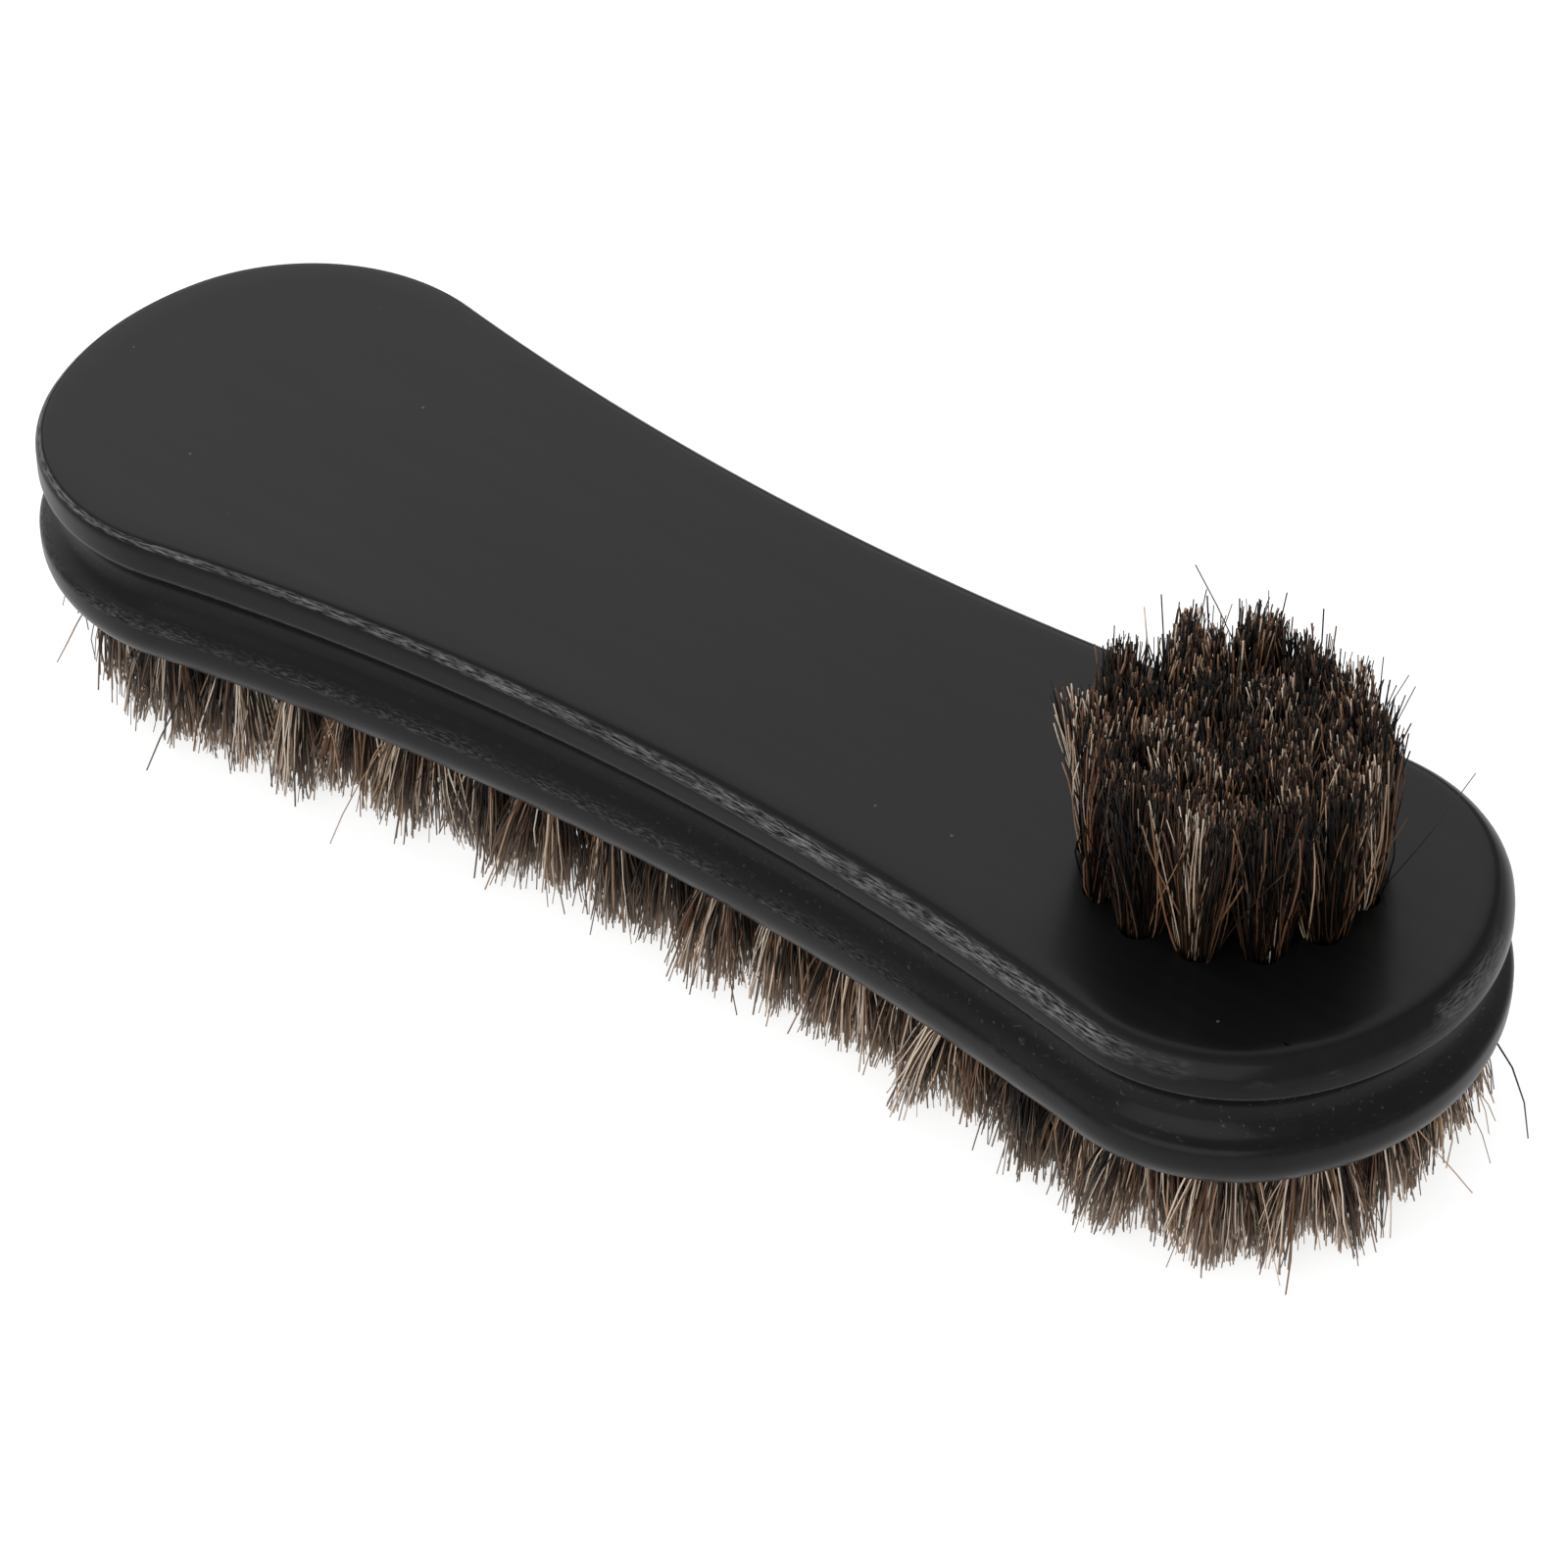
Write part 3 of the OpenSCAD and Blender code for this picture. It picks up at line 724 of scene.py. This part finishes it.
def tuft_paths(
        hole, fold_turn, lean, fan, stands,
        mouth_z, way, rings, scatter, sheaf_scatter, ragged, wave, ease):
    """One tuft's strands and each one's sheaf.

    stands is how far each strand stands out of the wood. The tips spread by scatter, the sheaves by
    sheaf_scatter, their lengths by ragged and the bends by wave. With ease under 1 they fan out early.
    """
    count = len(stands)
    fold = np.array([math.cos(fold_turn), math.sin(fold_turn)])
    locks = np.where(np.arange(SHEAVES) % 2, 1, -1)[:, None]
    middles = in_disc(LOCK_R, SHEAVES) + LOCK_OFFSET * fold * locks
    root = in_disc(LOCK_R, count) + LOCK_OFFSET * fold * chance.choice([-1, 1], count)[:, None]
    apart = (root[:, None, :] - middles[None, :, :]).transpose(2, 0, 1)
    sheaf = np.argmin(np.hypot(*apart), axis=1)
    tip = fan * (root + SHEAF_PULL * (middles[sheaf] - root)) + lean
    tip += chance.normal(0, sheaf_scatter, (SHEAVES, 2))[sheaf] + chance.normal(0, scatter, (count, 2))
    stray = chance.uniform(0, 1, count) < STRAY_SHARE
    tip[stray] += chance.normal(0, STRAY_SCATTER, (stray.sum(), 2))
    bow = chance.normal(0, wave, (count, 2))
    curly = chance.uniform(0, 1, count) < CURLY_SHARE
    bow[curly] *= CURLY_BOW
    curl = chance.normal(0, wave / 2, (count, 2))
    t = np.linspace(0, 1, rings)
    one_wave = np.sin(math.pi * t)[None, :, None]
    two_waves = np.sin(2 * math.pi * t)[None, :, None]
    flat = root[:, None] + (tip - root)[:, None] * (t ** ease)[None, :, None]
    flat += bow[:, None] * one_wave + curl[:, None] * two_waves
    stands = stands - np.abs(chance.normal(0, ragged, SHEAVES))[sheaf]
    level = mouth_z + way * (-ROOT_DEPTH + (stands[:, None] + ROOT_DEPTH) * t[None, :])
    return np.concatenate([flat + hole, level[..., None]], axis=-1), sheaf


# Strands vary between these shares of their usual radius, and whole tufts in tone by TUFT_SHIFT.
THINNEST = 0.65
THICKEST = 1.3
TUFT_SHIFT = 0.06


def strand_radii(count, rings, radius, tip_share):
    taper = np.linspace(1, tip_share, rings)
    return radius * chance.uniform(THINNEST, THICKEST, (count, 1)) * taper


def strand_tones(sheaf, darkness, sheaf_shift, lightest):
    shift = chance.normal(0, sheaf_shift, SHEAVES) + chance.normal(0, TUFT_SHIFT)
    return np.clip(lightest * chance.uniform(0, 1, len(sheaf)) ** darkness + shift[sheaf], 0, 1)


sole_len = underside_z - cad_box[0][2]
sole_rings = 5
sole_growth = {
    "mouth_z": underside_z,
    "way": -1,
    "rings": sole_rings,
    "scatter": 0.9 * mm,
    "sheaf_scatter": 0.7 * mm,
    "ragged": 1.0 * mm,
    "wave": 0.3 * mm,
    "ease": 0.6,
}
sole_hair_r = 0.115 * mm
sole_tip_share = 0.7
# The sole's strands reach nearly the top of the map, so their tips get the painted glow.
sole_tip_v = 0.98
upright_within = 3 * mm
outer_count = 400
outer_lean = 0.8 * mm
outer_fan = 3.0
inner_count = 230
inner_lean = 0.4 * mm
inner_fan = 2.6

# Every strand ends a little short of the trim, and half of them by up to most_short more.
trim_scatter = 0.7 * mm
short_share = 0.5
most_short = 5 * mm

# At the back end the hair leans in under the block, and is shorter and less fanned.
drawn_in_from = -66 * mm
drawn_in_over = 14 * mm
drawn_in_by = 4.5 * mm
drawn_in_fan = 0.25

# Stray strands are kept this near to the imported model's box.
end_margin = 4.5 * mm
side_margin = 1.4 * mm


def sole_hair(node, count, lean_out, fan):
    paths = []
    tones = []
    for hole in tufts[node]:
        drawn_in = min(1, max(0, (drawn_in_from - hole[0]) / drawn_in_over))
        spine = Vector((min(max(hole[0], back_nose_at.x), front_nose_at.x), 0))
        away = Vector(hole) - spine
        lean_by = lean_out - drawn_in_by * drawn_in
        lean = np.array(away.normalized() * lean_by) if away.length > upright_within else np.zeros(2)
        fold_turn = math.atan2(away.y, away.x) + quarter + chance.normal(0, FOLD_SCATTER)
        short = np.abs(chance.normal(0, trim_scatter, count))
        short += (chance.uniform(0, 1, count) < short_share) * chance.uniform(0, most_short, count)
        short += drawn_in_by * drawn_in
        tuft_fan = fan * (1 - drawn_in_fan * drawn_in)
        strands, sheaf = tuft_paths(hole, fold_turn, lean, tuft_fan, sole_len - short, **sole_growth)
        paths.append(strands)
        tones.append(strand_tones(sheaf, darkness=0.94, sheaf_shift=0.18, lightest=1))
    paths = np.concatenate(paths)
    paths[..., 0] = np.clip(paths[..., 0], cad_box[0][0] - end_margin, cad_box[1][0] + end_margin)
    paths[..., 1] = np.clip(paths[..., 1], cad_box[0][1] - side_margin, cad_box[1][1] + side_margin)
    paths[..., 2] = np.maximum(paths[..., 2], cad_box[0][2])
    radii = strand_radii(len(paths), sole_rings, sole_hair_r, sole_tip_share)
    piece = hair_piece(node + "_hair", paths, radii, np.concatenate(tones), -1, sole_tip_v)
    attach(piece, "root")
    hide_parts(node)


for node in outer_nodes:
    sole_hair(node, outer_count, outer_lean, outer_fan)
for node in inner_nodes:
    sole_hair(node, inner_count, inner_lean, inner_fan)


# The dauber: longer tufts of the same hair in two rings round a middle one, which spread into one
# another above the wood and are clipped to a slightly rough, level top.
dauber_len = cad_box[1][2] - top_z
dauber_rings = 7
dauber_growth = {
    "mouth_z": top_z,
    "way": 1,
    "rings": dauber_rings,
    "scatter": 0.8 * mm,
    "sheaf_scatter": 0.95 * mm,
    "ragged": 0.55 * mm,
    "wave": 0.45 * mm,
    "ease": 1.15,
}
dauber_count = 410
dauber_lean = -0.9 * mm
dauber_fan = 2.25
dauber_hair_r = 0.088 * mm
dauber_tip_share = 0.9
# The dauber's strands stop at half the map, so their tips get none of the painted glow.
dauber_tip_v = 0.5
dauber_trim_scatter = 0.8 * mm
dauber_short_share = 0.4

# The clipping left a crest at one side of the top, where the hair stands proud, and the rest is lower.
crest_turn = math.radians(136)
crest_sharpness = 6
crest_rise = 1.1 * mm
below_crest = 0.7 * mm
crest_way = np.array([math.cos(crest_turn), math.sin(crest_turn)])

dauber_middle = np.mean([tufts[node][0] for node in dauber_nodes], axis=0)
dauber_outer_r = max(np.hypot(*(tufts[node][0] - dauber_middle)) for node in dauber_nodes)
for node in dauber_nodes:
    hole = tufts[node][0]
    outward = hole - dauber_middle
    lean = outward / dauber_outer_r * dauber_lean
    fold_turn = math.atan2(outward[1], outward[0]) + quarter + chance.normal(0, FOLD_SCATTER)
    crest = (max(0, outward @ crest_way) / dauber_outer_r) ** crest_sharpness
    short = np.abs(chance.normal(0, dauber_trim_scatter, dauber_count))
    short += below_crest * (1 - crest) - crest_rise * crest
    is_short = chance.uniform(0, 1, dauber_count) < dauber_short_share
    short += is_short * chance.uniform(0, most_short, dauber_count)
    paths, sheaf = tuft_paths(hole, fold_turn, lean, dauber_fan, dauber_len - short, **dauber_growth)
    radii = strand_radii(dauber_count, dauber_rings, dauber_hair_r, dauber_tip_share)
    tones = strand_tones(sheaf, darkness=1.3, sheaf_shift=0.12, lightest=0.87)
    piece = hair_piece(node + "_hair", paths, radii, tones, 1, dauber_tip_v)
    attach(piece, "root")
    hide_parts(node)
